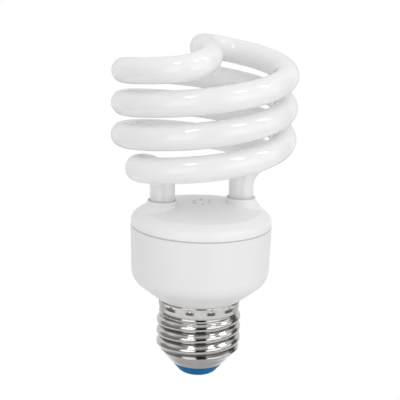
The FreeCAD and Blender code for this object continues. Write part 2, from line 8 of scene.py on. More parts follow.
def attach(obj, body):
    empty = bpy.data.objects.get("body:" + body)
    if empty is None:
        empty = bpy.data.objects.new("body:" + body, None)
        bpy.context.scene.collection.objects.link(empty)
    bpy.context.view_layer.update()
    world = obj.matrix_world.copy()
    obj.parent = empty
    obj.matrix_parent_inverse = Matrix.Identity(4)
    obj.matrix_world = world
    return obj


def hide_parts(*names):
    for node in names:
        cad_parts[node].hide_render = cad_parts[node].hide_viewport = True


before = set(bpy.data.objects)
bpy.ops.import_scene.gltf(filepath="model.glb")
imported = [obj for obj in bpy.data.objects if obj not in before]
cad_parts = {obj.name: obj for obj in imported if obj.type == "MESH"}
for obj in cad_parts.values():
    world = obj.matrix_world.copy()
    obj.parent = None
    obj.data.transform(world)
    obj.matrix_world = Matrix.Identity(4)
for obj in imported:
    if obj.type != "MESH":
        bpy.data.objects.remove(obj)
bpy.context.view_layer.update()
scene = bpy.context.scene

# Camera: fitted to the photograph's outlines, 15 degrees above level, with the picture leaning a little clockwise.
EYE = Vector((-0.0956, -0.3546, 0.14935))
AIM = Vector((-0.00054, 0.00014, 0.05614))
LEAN = math.radians(1.57)
SENSOR_MM, FOCAL_MM = 36.0, 111.15

camera_data = bpy.data.cameras.new("camera")
camera_data.sensor_width = SENSOR_MM
camera_data.lens = FOCAL_MM
camera_data.clip_start = 0.01
camera_data.clip_end = 20.0
camera = bpy.data.objects.new("camera", camera_data)
scene.collection.objects.link(camera)
ahead = (AIM - EYE).normalized()
side = ahead.cross(Vector((0, 0, 1))).normalized()
up = side.cross(ahead)
right = side * math.cos(LEAN) + up * math.sin(LEAN)
top = up * math.cos(LEAN) - side * math.sin(LEAN)
camera.matrix_world = Matrix.Translation(EYE) @ Matrix((right, top, -ahead)).transposed().to_4x4()
scene.camera = camera


# Studio: an even white room for all white surfaces, and for bright metal a ring of light panels with dark gaps
# between them and a dark wall over the camera. The camera sees plain white behind the lamp, which hangs above a
# pale round table. Bearings are in degrees from the camera's side, to the right in the picture.
PANELS = [(-180, 0.80), (-130, 0.80), (-118, 0.30), (-52, 0.24), (-43, 1.60), (-12, 1.60), (-6, 0.03), (20, 0.03),
          (26, 1.60), (62, 1.40), (70, 0.90), (98, 1.00), (104, 0.10), (126, 0.10), (138, 0.80), (180, 0.80)]
OVERHEAD = [(-180, 0.75), (-100, 0.75), (-66, 0.32), (66, 0.32), (100, 0.75), (180, 0.75)]
TABLE_GAP = [(-180, 0.60), (-128, 0.60), (-108, 0.16), (104, 0.16), (124, 0.60), (180, 0.60)]
PANEL_GAIN, CEILING = 2.0, 0.62
PANEL_TOP, CEILING_EDGE, TABLE_EDGE = (0.42, 0.60), (0.86, 0.95), (-0.30, -0.34)  # sines of the lift above level
ROOM = [(0.0, 0.76), (0.20, 0.89), (0.55, 0.92), (0.85, 0.77), (1.0, 0.73)]
ROOM_LEFT, ROOM_RIGHT, ROOM_BEHIND, ROOM_FRONT = 0.98, 1.08, 0.90, 1.10


def linear(code):
    """A hex colour as it is seen, turned into linear light."""
    parts = [int(code[k:k + 2], 16) / 255.0 for k in (1, 3, 5)]
    return tuple(c / 12.92 if c <= 0.04045 else ((c + 0.055) / 1.055) ** 2.4 for c in parts) + (1.0,)


def grey(level):
    return (level, level, level, 1.0)


def all_round(levels):
    """Colour stops for light levels by bearing, from behind the lamp round its front to behind it again."""
    return {"stops": [((angle + 180) / 360, grey(level / PANEL_GAIN)) for angle, level in levels]}


def add(tree, kind, settings=None, links=None):
    """Adds a node with its settings and links; a link starts at a socket, or at a node's first output."""
    node = tree.nodes.new(kind)
    for key, value in (settings or {}).items():
        if key == "stops":
            points = node.color_ramp.elements
            points[0].position, points[0].color = value[0]
            points[1].position, points[1].color = value[-1]
            for where, colour in value[1:-1]:
                points.new(where).color = colour
        elif isinstance(key, int) or key in node.inputs:
            node.inputs[key].default_value = value
        else:
            setattr(node, key, value)
    for key, source in (links or {}).items():
        tree.links.new(source.outputs[0] if hasattr(source, "outputs") else source, node.inputs[key])
    return node


toward = Vector((EYE.x, EYE.y, 0.0)).normalized()
rightward = Vector((-toward.y, toward.x, 0.0))

world = bpy.data.worlds.new("studio")
world.use_nodes = True
world.cycles.sampling_method = "NONE"
scene.world = world
sky = world.node_tree
sky.nodes.clear()
ray = add(sky, "ShaderNodeLightPath")
way = add(sky, "ShaderNodeTexCoord")
near = add(sky, "ShaderNodeVectorMath", {"operation": "DOT_PRODUCT", 1: toward}, {0: way})
beside = add(sky, "ShaderNodeVectorMath", {"operation": "DOT_PRODUCT", 1: rightward}, {0: way})
above = add(sky, "ShaderNodeSeparateXYZ", links={0: way}).outputs[2]
bearing = add(sky, "ShaderNodeMath", {"operation": "ARCTAN2"},
              {0: beside.outputs["Value"], 1: near.outputs["Value"]})
bearing = add(sky, "ShaderNodeMapRange", {"From Min": -math.pi, "From Max": math.pi}, {"Value": bearing})
panels = add(sky, "ShaderNodeValToRGB", all_round(PANELS), {0: bearing})
overhead = add(sky, "ShaderNodeValToRGB", all_round(OVERHEAD), {0: bearing})
raised = add(sky, "ShaderNodeMapRange", {"From Min": PANEL_TOP[0], "From Max": PANEL_TOP[1]}, {"Value": above})
high = add(sky, "ShaderNodeMapRange", {"From Min": CEILING_EDGE[0], "From Max": CEILING_EDGE[1]}, {"Value": above})
mirrored = add(sky, "ShaderNodeMix", {"data_type": "RGBA"}, {0: raised, 6: panels, 7: overhead})
mirrored = add(sky, "ShaderNodeMix", {"data_type": "RGBA", 7: grey(CEILING / PANEL_GAIN)},
               {0: high, 6: mirrored.outputs[2]})
gap = add(sky, "ShaderNodeValToRGB", all_round(TABLE_GAP), {0: bearing})
low = add(sky, "ShaderNodeMapRange", {"From Min": TABLE_EDGE[0], "From Max": TABLE_EDGE[1]}, {"Value": above})
mirrored = add(sky, "ShaderNodeMix", {"data_type": "RGBA"}, {0: low, 6: mirrored.outputs[2], 7: gap})
mirrored = add(sky, "ShaderNodeBackground", {"Strength": PANEL_GAIN}, {"Color": mirrored.outputs[2]})
upper = add(sky, "ShaderNodeValToRGB", {"stops": [(lift, grey(level / PANEL_GAIN)) for lift, level in ROOM]},
            {0: above})
across = add(sky, "ShaderNodeMapRange", {"From Min": -1.0, "From Max": 1.0, "To Min": ROOM_LEFT,
                                         "To Max": ROOM_RIGHT}, {"Value": beside.outputs["Value"]})
along = add(sky, "ShaderNodeMapRange", {"From Min": -1.0, "From Max": 1.0, "To Min": ROOM_BEHIND,
                                        "To Max": ROOM_FRONT}, {"Value": near.outputs["Value"]})
room = add(sky, "ShaderNodeMath", {"operation": "MULTIPLY"}, {0: upper, 1: across})
room = add(sky, "ShaderNodeMath", {"operation": "MULTIPLY"}, {0: room, 1: along})
room = add(sky, "ShaderNodeMath", {"operation": "MULTIPLY", 1: PANEL_GAIN}, {0: room})
room = add(sky, "ShaderNodeBackground", {"Color": grey(1.0)}, {"Strength": room})
white_wall = add(sky, "ShaderNodeBackground", {"Color": grey(1.0), "Strength": 1.0})
shiny = add(sky, "ShaderNodeMath", {"operation": "MAXIMUM"},
            {0: ray.outputs["Is Glossy Ray"], 1: ray.outputs["Is Transmission Ray"]})
seen = add(sky, "ShaderNodeMixShader", links={0: shiny, 1: room, 2: mirrored})
seen = add(sky, "ShaderNodeMixShader", links={0: ray.outputs["Is Camera Ray"], 1: seen, 2: white_wall})
add(sky, "ShaderNodeOutputWorld", links={0: seen})

# Lamps: three tall windows that leave the small bright streaks on the glass and on the cap's crests, and a wide
# soft light that fills the front. Bearings and lifts are in degrees, widths in metres, and power in watts.
WINDOWS = [("left_window", -34, 56, 0.15, 0.90), ("right_window", 50, 56, 0.14, 0.90),
           ("far_right_window", 90, 46, 0.13, 0.85)]
WINDOW_TALL, LIGHT_DISTANCE, LIT_HEIGHT = 0.25, 0.8, 0.07


def soft_light(name, azimuth, elevation, wide, tall, watts):
    """An area light that faces the lamp."""
    bearing = math.atan2(EYE.y, EYE.x) + math.radians(azimuth)
    lift = math.radians(elevation)
    way = Vector((math.cos(bearing) * math.cos(lift), math.sin(bearing) * math.cos(lift), math.sin(lift)))
    data = bpy.data.lights.new(name, "AREA")
    data.shape = "RECTANGLE"
    data.size = wide
    data.size_y = tall
    data.energy = watts
    light = bpy.data.objects.new(name, data)
    scene.collection.objects.link(light)
    light.location = Vector((0, 0, LIT_HEIGHT)) + way * LIGHT_DISTANCE
    light.rotation_euler = (-way).to_track_quat("-Z", "Y").to_euler()
    light.visible_camera = False
    return light


for name, azimuth, elevation, wide, watts in WINDOWS:
    soft_light(name, azimuth, elevation, wide, WINDOW_TALL, watts).visible_diffuse = False
soft_light("front_fill", 40, 34, 0.50, 0.40, 0.80).visible_glossy = False


# Table: a round matt white top well below the lamp. It keeps the lamp's shadow in its middle and fades into the
# white behind it towards its rim. In bright metal it glows instead, with a painted shadow: grey in the middle and
# white at the rim.
TABLE_DEPTH, TABLE_RADIUS, TABLE_SIDES = 0.16, 0.35, 72
FADE_START, FADE_END, MIRROR_END = 0.19, 0.33, 0.30
MIDDLE_FADE, PAINTED_SHADOW_MIDDLE, RIM_MIRROR = 0.65, 0.50, 0.92


def material(name):
    item = bpy.data.materials.new(name)
    item.use_nodes = True
    item.node_tree.nodes.clear()
    return item, item.node_tree


def mesh_piece(name, spots, faces, finish, smooth=True):
    """A mesh object from points in millimetres."""
    data = bpy.data.meshes.new(name)
    data.from_pydata([tuple(c / 1000.0 for c in s) for s in spots], [], faces)
    data.materials.append(finish)
    data.polygons.foreach_set("use_smooth", [smooth] * len(data.polygons))
    data.update()
    item = bpy.data.objects.new(name, data)
    scene.collection.objects.link(item)
    return item


table_white, tree = material("matt_white_table")
ray = add(tree, "ShaderNodeLightPath")
matt = add(tree, "ShaderNodeBsdfDiffuse", {"Color": linear("#f1f1f1"), "Roughness": 1.0})
place = add(tree, "ShaderNodeTexCoord")
reach = add(tree, "ShaderNodeVectorMath", {"operation": "LENGTH"}, {0: place.outputs["Object"]})
fade = add(tree, "ShaderNodeMapRange", {"From Min": FADE_START, "From Max": FADE_END, "To Min": MIDDLE_FADE},
           {"Value": reach.outputs["Value"]})
# Painted shadow: what bright metal mirrors of the table glows at half strength in the middle, rising to nearly white
# at the rim.
painted_shadow_strength = add(tree, "ShaderNodeMapRange", {"From Min": FADE_START, "From Max": MIRROR_END, "To Min": PAINTED_SHADOW_MIDDLE,
                                          "To Max": RIM_MIRROR}, {"Value": reach.outputs["Value"]})
shiny = add(tree, "ShaderNodeMath", {"operation": "MAXIMUM"},
            {0: ray.outputs["Is Glossy Ray"], 1: ray.outputs["Is Transmission Ray"]})
glow = add(tree, "ShaderNodeMix", {"data_type": "FLOAT", 2: 1.0}, {0: shiny, 3: painted_shadow_strength})
lit = add(tree, "ShaderNodeEmission", {"Color": grey(1.0)}, {"Strength": glow})
seen = add(tree, "ShaderNodeMath", {"operation": "MULTIPLY"}, {0: ray.outputs["Is Camera Ray"], 1: fade})
seen = add(tree, "ShaderNodeMath", {"operation": "MAXIMUM"}, {0: seen, 1: shiny})
seen = add(tree, "ShaderNodeMixShader", links={0: seen, 1: matt, 2: lit})
add(tree, "ShaderNodeOutputMaterial", links={"Surface": seen})
edge = [math.radians(360 / TABLE_SIDES * k) for k in range(TABLE_SIDES)]
rim = [(1000 * TABLE_RADIUS * math.cos(a), 1000 * TABLE_RADIUS * math.sin(a), -1000 * TABLE_DEPTH) for a in edge]
table = mesh_piece("table", rim, [tuple(range(TABLE_SIDES))], table_white, smooth=False)


# Glass tube: one long clear glass tube, white powder coated inside, bent hot into two strands of a helix that
# join over the top in an S. The clear glass in front of the powder gives sharp, small reflections. Millimetres.
TUBE_RADIUS, LEG_INSET, COIL_RADIUS, STRAND_PITCH = 3.84, 12.45, 24.25, 19.36
LEG_END, LEG_TOP, COIL_TOP, BRIDGE_HEIGHT = 46.2, 60.6, 95.6, 102.15
LEAD_ANGLE, LEAD_RISE, LEAD_REACH, COIL_TOP_ANGLE = 218.4, 9.9, 14.6, 705.0
BRIDGE_ANGLE, BRIDGE_START, BRIDGE_MIDDLE, BRIDGE_HEADING = 769.1, 9.8, 18.4, 86.8
LEG_STEPS, BEND_STEPS, COIL_STEPS, RING_GAP, RING_POINTS = 16, 60, 420, 0.7, 48
CLOUD_MM, SPECK_MM, RIPPLE_MM = 9.0, 0.35, 14.0


def on_coil(degrees):
    a = math.radians(degrees)
    return np.array([COIL_RADIUS * math.cos(a), COIL_RADIUS * math.sin(a),
                     COIL_TOP + STRAND_PITCH * (degrees - COIL_TOP_ANGLE) / 360.0])


def heading(degrees, slope):
    a = math.radians(degrees + 90.0)
    way = np.array([math.cos(a), math.sin(a), slope])
    return way / np.linalg.norm(way)


def bend(start, leave, arrive, end):
    """A cubic curve that leaves start along one way and arrives at end along another."""
    t = np.linspace(0, 1, BEND_STEPS)[:, None]
    u = 1 - t
    return start * u ** 3 + (start + leave) * 3 * u * u * t + (end - arrive) * 3 * u * t * t + end * t ** 3


def strand_line():
    """Centre line of one strand in millimetres, from the leg's end to the middle of the bridge."""
    climb = STRAND_PITCH / (2 * math.pi * COIL_RADIUS)
    leg = np.array([[-LEG_INSET, 0, z] for z in np.linspace(LEG_END, LEG_TOP, LEG_STEPS)])
    coil = np.array([on_coil(a) for a in np.linspace(LEAD_ANGLE, BRIDGE_ANGLE, COIL_STEPS)])
    lead = bend(leg[-1], np.array([0, 0, LEAD_RISE]), heading(LEAD_ANGLE, climb) * LEAD_REACH, coil[0])
    middle = np.array([0, 0, BRIDGE_HEIGHT])
    bridge = bend(coil[-1], heading(BRIDGE_ANGLE, climb) * BRIDGE_START,
                  heading(BRIDGE_HEADING + 90.0, 0.0) * BRIDGE_MIDDLE, middle)
    return np.vstack([leg[:-1], lead[:-1], coil[:-1], bridge])


def even(line, gap):
    """The same line with points an even gap apart."""
    run = np.r_[0, np.cumsum(np.linalg.norm(np.diff(line, axis=0), axis=1))]
    want = np.linspace(0, run[-1], int(run[-1] / gap) + 1)
    return np.stack([np.interp(want, run, line[:, k]) for k in range(3)], 1)


def sweep(line, radius, count):
    """Rings round a line, each turned no more than the line bends."""
    ways = np.gradient(line, axis=0)
    ways /= np.linalg.norm(ways, axis=1)[:, None]
    turns = np.linspace(0, 2 * math.pi, count, endpoint=False)[:, None]
    across = np.array([1.0, 0, 0])
    rings = []
    for spot, way in zip(line, ways):
        across = across - way * across.dot(way)
        across /= np.linalg.norm(across)
        rings.append(spot + radius * (np.cos(turns) * across + np.sin(turns) * np.cross(way, across)))
    return rings


def skin(rings, closed_ends):
    """Points and faces of a tube through rings of the same count."""
    count = len(rings[0])
    faces = []
    for k in range(len(rings) - 1):
        for j in range(count):
            n = (j + 1) % count
            faces.append((k * count + j, k * count + n, (k + 1) * count + n, (k + 1) * count + j))
    if closed_ends:
        faces.append(tuple(range(count - 1, -1, -1)))
        faces.append(tuple((len(rings) - 1) * count + j for j in range(count)))
    return np.vstack(rings), faces


def millimetres(tree):
    """The place on the object in millimetres, so that a scale of 1 / 3.0 gives a pattern 3 mm wide."""
    place = add(tree, "ShaderNodeTexCoord")
    return add(tree, "ShaderNodeVectorMath", {"operation": "SCALE", "Scale": 1000.0}, {0: place.outputs["Object"]})


half = strand_line()
centre_line = even(np.vstack([half, (half * np.array([-1, -1, 1]))[-2::-1]]), RING_GAP)

# Powder on glass: milky and even, a little cloudy over 9 mm, and painted greyer where the eye grazes the tube, a
# painted shade along its outline.
coated_glass, tree = material("white_powder_coated_glass")
place = millimetres(tree)
cloud = add(tree, "ShaderNodeTexNoise", {"Scale": 1 / CLOUD_MM, "Detail": 3.0, "Roughness": 0.6}, {"Vector": place})
powder = add(tree, "ShaderNodeValToRGB", {"stops": [(0.30, linear("#eeefef")), (0.66, linear("#f2f2f1"))]},
             {0: cloud})
fine = add(tree, "ShaderNodeTexNoise", {"Scale": 1 / SPECK_MM, "Detail": 2.0, "Roughness": 0.6}, {"Vector": place})
speck = add(tree, "ShaderNodeValToRGB", {"stops": [(0.35, grey(0.98)), (0.60, grey(1.0))]}, {0: fine})
powder = add(tree, "ShaderNodeMix", {"data_type": "RGBA", "blend_type": "MULTIPLY", 0: 1.0}, {6: powder, 7: speck})
# Painted shade: the colour turns grey where the surface is seen edge on, along the tube's outline.
graze = add(tree, "ShaderNodeLayerWeight", {"Blend": 0.42})
grazing_edge_shade = add(tree, "ShaderNodeValToRGB", {"stops": [(0.70, grey(1.0)), (0.97, linear("#d6d8d9"))]},
           {0: graze.outputs["Facing"]})
powder = add(tree, "ShaderNodeMix", {"data_type": "RGBA", "blend_type": "MULTIPLY", 0: 1.0},
             {6: powder.outputs[2], 7: grazing_edge_shade})
drawn = add(tree, "ShaderNodeTexNoise", {"Scale": 1 / RIPPLE_MM, "Detail": 2.0, "Roughness": 0.4}, {"Vector": place})
uneven = add(tree, "ShaderNodeBump", {"Strength": 1.0, "Distance": 0.00006}, {"Height": drawn})
surface = add(tree, "ShaderNodeBsdfPrincipled",
              {"Roughness": 0.60, "IOR": 1.40, "Specular IOR Level": 0.1, "Subsurface Weight": 0.8,
               "Subsurface Radius": (1.0, 1.0, 1.0), "Subsurface Scale": 0.008, "Coat Weight": 1.0,
               "Coat Roughness": 0.03, "Coat IOR": 1.52}, {"Base Color": powder.outputs[2], "Coat Normal": uneven})
add(tree, "ShaderNodeOutputMaterial", links={"Surface": surface})

spots, faces = skin(sweep(centre_line, TUBE_RADIUS, RING_POINTS), closed_ends=True)
glass_tube = mesh_piece("spiral_glass_tube", spots, faces, coated_glass)
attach(glass_tube, "root")
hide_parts("discharge_tube")


# Screw cap: thin nickel plated brass, drawn into a cup, rolled into the round thread, crimped in under its bead
# and punched into the plastic neck at 12 places. It mirrors the room, softened by rolling marks. Millimetres.
CAP_PROFILE = [(4.20, 8.30), (5.50, 9.58), (7.00, 10.75), (8.40, 11.93), (9.40, 12.46), (10.20, 12.58),
               (19.60, 12.58), (20.60, 12.42), (21.40, 12.28), (22.20, 12.42), (23.00, 12.545), (24.00, 12.70),
               (24.92, 12.84), (25.08, 12.66), (25.24, 12.70), (25.38, 12.98), (25.60, 13.03)]
THREAD_PITCH, THREAD_DEEP, THREAD_START, THREAD_TURN, CREST_FLAT = 3.629, 0.52, 14.13, 165.0, 0.20
THREAD_IN, THREAD_OUT, EARLY_ON_THE_RIGHT = (7.4, 10.2), (19.3, 21.2), 0.9
PUNCH_COUNT, PUNCH_TURN, PUNCH_HEIGHT, RIM_RADIUS = 12, 2.5, 24.15, 12.9
PIT_DEEP, PIT_WIDE, PIT_RISE, SPIKE_DEEP, SPIKE_WIDE = 0.22, 0.36, 0.25, 0.10, 0.22
SPIKE_START, SPIKE_END = (0.2, 0.5), (0.9, 1.2)
DENT_DEEP, DENT_WIDE, DENT_LOW, DENT_MIDDLE, DENT_HIGH = 0.13, 1.9, -1.35, -0.25, 1.0
VALLEY_SHADE_FROM, VALLEY_SHADE_TO, CONE_FROM, CONE_TO = 12.06, 12.40, 9.6, 8.6
SHEET, ROUND_STEP, ROUND_REACH, CAP_POINTS, INSIDE_STEP = 0.28, 0.02, 12, 288, 4


def ease(value, low, high):
    """0 below low, 1 above high, and a smooth rise between them."""
    t = np.clip((value - low) / (high - low), 0.0, 1.0)
    return t * t * (3 - 2 * t)


def cap_radius(height, angle):
    """The cap's outside radius on a grid of heights and angles: rounded profile, thread and punch marks."""
    fine = np.arange(3.6, 26.2, ROUND_STEP)
    rough = np.interp(fine, [p[0] for p in CAP_PROFILE], [p[1] for p in CAP_PROFILE])
    kernel = np.exp(-0.5 * (np.arange(-ROUND_REACH, ROUND_REACH + 1) / (ROUND_REACH / 3)) ** 2)
    smooth = np.convolve(rough, kernel / kernel.sum(), mode="same")
    radius = np.interp(height, fine[ROUND_REACH:-ROUND_REACH], smooth[ROUND_REACH:-ROUND_REACH])
    phase = 2 * math.pi * ((height - THREAD_START) / THREAD_PITCH - (np.degrees(angle) - THREAD_TURN) / 360.0)
    right_side = 0.5 + 0.5 * np.cos(angle - math.atan2(rightward.y, rightward.x))
    early = EARLY_ON_THE_RIGHT * right_side
    strength = ease(height, THREAD_IN[0] - early, THREAD_IN[1] - early) * (1 - ease(height, *THREAD_OUT))
    radius = radius + THREAD_DEEP * strength * (np.cos(phase) - CREST_FLAT * np.cos(2 * phase) + CREST_FLAT)
    for k in range(PUNCH_COUNT):
        off = (angle - math.radians(PUNCH_TURN + 360.0 / PUNCH_COUNT * k) + math.pi) % (2 * math.pi) - math.pi
        off = off * RIM_RADIUS
        rise = height - PUNCH_HEIGHT
        pit = np.exp(-(np.hypot(off, rise - PIT_RISE) / PIT_WIDE) ** 2)
        spike = np.exp(-(off / SPIKE_WIDE) ** 2) * ease(rise, *SPIKE_START) * (1 - ease(rise, *SPIKE_END))
        slope = np.interp(rise, [DENT_LOW, DENT_MIDDLE, DENT_HIGH], [0.0, 1.0, 0.0])
        dent = np.exp(-(off / DENT_WIDE) ** 2) * slope
        radius = radius - PIT_DEEP * pit - SPIKE_DEEP * spike - DENT_DEEP * dent
    return radius


# Rings 0.1 mm apart on the thread, 0.09 mm on the punched rim and 0.05 mm on its bead.
levels = np.r_[np.linspace(4.2, 21.4, 170), np.linspace(21.5, 24.7, 38), np.linspace(24.75, 25.6, 18)]
turns = np.linspace(0, 2 * math.pi, CAP_POINTS, endpoint=False)
grid_height, grid_angle = np.meshgrid(levels, turns, indexing="ij")
grid_radius = cap_radius(grid_height, grid_angle)


def cap_ring(k, thinner):
    """One ring of the cap's outside, or of its inside when it is thinner by the sheet."""
    radius = grid_radius[k] - thinner
    return np.stack([radius * np.cos(turns), radius * np.sin(turns), grid_height[k]], 1)


outside = [cap_ring(k, 0.0) for k in range(len(levels))]
inner_rows = sorted({0, len(levels) - 1, *range(0, len(levels), INSIDE_STEP)}, reverse=True)
inside = [cap_ring(k, SHEET) for k in inner_rows]
spots, faces = skin(outside + inside + outside[:1], closed_ends=False)
kept = CAP_POINTS * (len(outside) + len(inside))
faces = [tuple(i - kept if i >= kept else i for i in face) for face in faces]
spots = spots[:kept]

# Nickel: bright and even, with rolling marks 0.17 mm apart drawn out round the cap, a faint smear, and the bottom of
# the thread painted dark, painted shade with some grime.
nickel, tree = material("bright_nickel_plate")
place = millimetres(tree)
rolled = add(tree, "ShaderNodeMapping", {"Scale": (0.12, 0.12, 6.0)}, {"Vector": place})
rolled = add(tree, "ShaderNodeTexNoise", {"Scale": 1.0, "Detail": 3.0, "Roughness": 0.6}, {"Vector": rolled})
smear = add(tree, "ShaderNodeTexNoise", {"Scale": 1 / 2.2, "Detail": 4.0, "Roughness": 0.6}, {"Vector": place})
tone = add(tree, "ShaderNodeValToRGB", {"stops": [(0.30, linear("#cdcbc9")), (0.70, linear("#d9d8d6"))]}, {0: smear})
# Painted shade with some grime: the colour falls to 0.3 in the bottom of the thread, found by distance from the
# axis, and the cone below is left out.
from_axis = add(tree, "ShaderNodeVectorMath", {"operation": "MULTIPLY", 1: (1.0, 1.0, 0.0)}, {0: place})
from_axis = add(tree, "ShaderNodeVectorMath", {"operation": "LENGTH"}, {0: from_axis})
on_cone = add(tree, "ShaderNodeSeparateXYZ", links={0: place}).outputs[2]
on_cone = add(tree, "ShaderNodeMapRange", {"From Min": CONE_FROM, "From Max": CONE_TO}, {"Value": on_cone})
valley_shade_and_grime = add(tree, "ShaderNodeMapRange", {"From Min": VALLEY_SHADE_FROM, "From Max": VALLEY_SHADE_TO, "To Min": 0.30},
            {"Value": from_axis.outputs["Value"]})
valley_shade_and_grime = add(tree, "ShaderNodeMath", {"operation": "MAXIMUM"}, {0: valley_shade_and_grime, 1: on_cone})
tone = add(tree, "ShaderNodeMix", {"data_type": "RGBA", "blend_type": "MULTIPLY", 0: 1.0}, {6: tone, 7: valley_shade_and_grime})
gloss = add(tree, "ShaderNodeMapRange", {"From Min": 0.3, "From Max": 0.7, "To Min": 0.05, "To Max": 0.12},
            {"Value": rolled})
marks = add(tree, "ShaderNodeBump", {"Strength": 1.0, "Distance": 0.000006}, {"Height": rolled})
marks = add(tree, "ShaderNodeBump", {"Strength": 1.0, "Distance": 0.00001}, {"Height": smear, "Normal": marks})
surface = add(tree, "ShaderNodeBsdfPrincipled", {"Metallic": 1.0},
              {"Base Color": tone.outputs[2], "Roughness": gloss, "Normal": marks})
add(tree, "ShaderNodeOutputMaterial", links={"Surface": surface})

cap = mesh_piece("rolled_screw_cap", spots, faces, nickel)
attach(cap, "root")
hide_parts("screw_shell")


# Insulator: an opaque blue ring, moulded in the cap's small end, that keeps the centre contact apart from the
# cap. Its smooth skin is dull enough to show its colour deep and even, with faint flow marks.
def dress(names, finish):
    """Gives pieces that keep their own shape their finished material."""
    for name in names:
        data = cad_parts[name].data
        data.materials.clear()
        data.materials.append(finish)


blue, tree = material("blue_moulded_insulator")
place = millimetres(tree)
flow = add(tree, "ShaderNodeTexNoise", {"Scale": 1 / 3.0, "Detail": 3.0, "Roughness": 0.5}, {"Vector": place})
tone = add(tree, "ShaderNodeValToRGB", {"stops": [(0.3, linear("#00649a")), (0.7, linear("#006ba4"))]}, {0: flow})
flow = add(tree, "ShaderNodeBump", {"Strength": 1.0, "Distance": 0.00006}, {"Height": flow})
surface = add(tree, "ShaderNodeBsdfPrincipled", {"Roughness": 0.40, "IOR": 1.5, "Specular IOR Level": 0.05},
              {"Base Color": tone, "Normal": flow})
add(tree, "ShaderNodeOutputMaterial", links={"Surface": surface})
dress(["cap_insulator"], blue)


# Housing: two thin injection moulded parts, a bowl below and a domed cover that snaps into it above. The mould is
# fine blasted, so the white plastic is satin, with broad soft lights. A soft band along the seam is painted darker,
# a painted shade in the joint.
SEAM_HEIGHT, SEAM_REACH = 48.6, 1.0

# The cover uses a lighter copy of the same white plastic, painted light that offsets the shade the coil casts on its
# top.
for name, low, high, piece in (("satin_white_plastic", "#eeeeef", "#f1f1f1", "lower_housing"),
                               ("satin_white_plastic_painted_lighter_cover", "#f1f1f2", "#f5f5f5", "upper_cover")):
    white, tree = material(name)
    place = millimetres(tree)
    flow = add(tree, "ShaderNodeTexNoise", {"Scale": 1 / 24.0, "Detail": 2.0, "Roughness": 0.4}, {"Vector": place})
    grit = add(tree, "ShaderNodeTexNoise", {"Scale": 1 / 0.22, "Detail": 2.0, "Roughness": 0.5}, {"Vector": place})
    tone = add(tree, "ShaderNodeValToRGB", {"stops": [(0.3, linear(low)), (0.7, linear(high))]}, {0: flow})
    height = add(tree, "ShaderNodeSeparateXYZ", links={0: place}).outputs[2]
    height = add(tree, "ShaderNodeMapRange", {"From Min": SEAM_HEIGHT - SEAM_REACH,
                                              "From Max": SEAM_HEIGHT + SEAM_REACH}, {"Value": height})
    # Painted shade: a soft grey band along the seam between bowl and cover.
    seam_shade = add(tree, "ShaderNodeValToRGB", {"stops": [(0.30, grey(1.0)), (0.46, linear("#e6e6e6")),
                                                      (0.56, linear("#e0e0e0")), (0.74, grey(1.0))]}, {0: height})
    tone = add(tree, "ShaderNodeMix", {"data_type": "RGBA", "blend_type": "MULTIPLY", 0: 1.0}, {6: tone, 7: seam_shade})
    gloss = add(tree, "ShaderNodeMapRange", {"From Min": 0.3, "From Max": 0.7, "To Min": 0.32, "To Max": 0.42},
                {"Value": grit})
    grit = add(tree, "ShaderNodeBump", {"Strength": 1.0, "Distance": 0.000006}, {"Height": grit})
    surface = add(tree, "ShaderNodeBsdfPrincipled", {"IOR": 1.49}, {"Base Color": tone.outputs[2],
                                                                    "Roughness": gloss, "Normal": grit})
    add(tree, "ShaderNodeOutputMaterial", links={"Surface": surface})
    dress([piece], white)


# Centre contact: a brass eyelet riveted through the insulator and closed with a dome of solder. Solder sets
# dull silver with a grain, and turning in a holder leaves fine rings on it.
solder, tree = material("dull_solder_on_brass")
place = millimetres(tree)
grain = add(tree, "ShaderNodeTexVoronoi", {"Scale": 1 / 0.5}, {"Vector": place})
tone = add(tree, "ShaderNodeValToRGB", {"stops": [(0.1, linear("#a5a19a")), (0.8, linear("#c3c0ba"))]}, {0: grain})
rings = add(tree, "ShaderNodeTexWave", {"wave_type": "RINGS", "rings_direction": "Z", "Scale": 0.8,
                                        "Distortion": 1.5}, {"Vector": place})
gloss = add(tree, "ShaderNodeMapRange", {"To Min": 0.28, "To Max": 0.46}, {"Value": rings})
rings = add(tree, "ShaderNodeBump", {"Strength": 1.0, "Distance": 0.00002}, {"Height": rings})
surface = add(tree, "ShaderNodeBsdfPrincipled", {"Metallic": 1.0},
              {"Base Color": tone, "Roughness": gloss, "Normal": rings})
add(tree, "ShaderNodeOutputMaterial", links={"Surface": surface})
dress(["centre_contact"], solder)


# Tube cement: white silicone squeezed round each leg's end under the cover. It sets matt and rubbery, with
# small lumps and hollows where the nozzle moved on.
silicone, tree = material("white_silicone_cement")
place = millimetres(tree)
lumps = add(tree, "ShaderNodeTexNoise", {"Scale": 1 / 1.8, "Detail": 3.0, "Roughness": 0.5}, {"Vector": place})
tone = add(tree, "ShaderNodeValToRGB", {"stops": [(0.3, linear("#dcd9cf")), (0.7, linear("#ebe9e1"))]}, {0: lumps})
lumps = add(tree, "ShaderNodeBump", {"Strength": 1.0, "Distance": 0.0003}, {"Height": lumps})
surface = add(tree, "ShaderNodeBsdfPrincipled", {"Roughness": 0.62, "IOR": 1.41, "Subsurface Weight": 0.2,
                                                 "Subsurface Scale": 0.001}, {"Base Color": tone, "Normal": lumps})
add(tree, "ShaderNodeOutputMaterial", links={"Surface": surface})
dress(["tube_cement_right", "tube_cement_left"], silicone)


# Circuit board: a round disc of brown paper laminate, drilled for each lead. The side away from the cap has
# copper lands under a green lacquer; the other is bare, with paper fibre showing through the resin.
BOARD_UNDER, BOARD_TOP = 42.6, 44.2

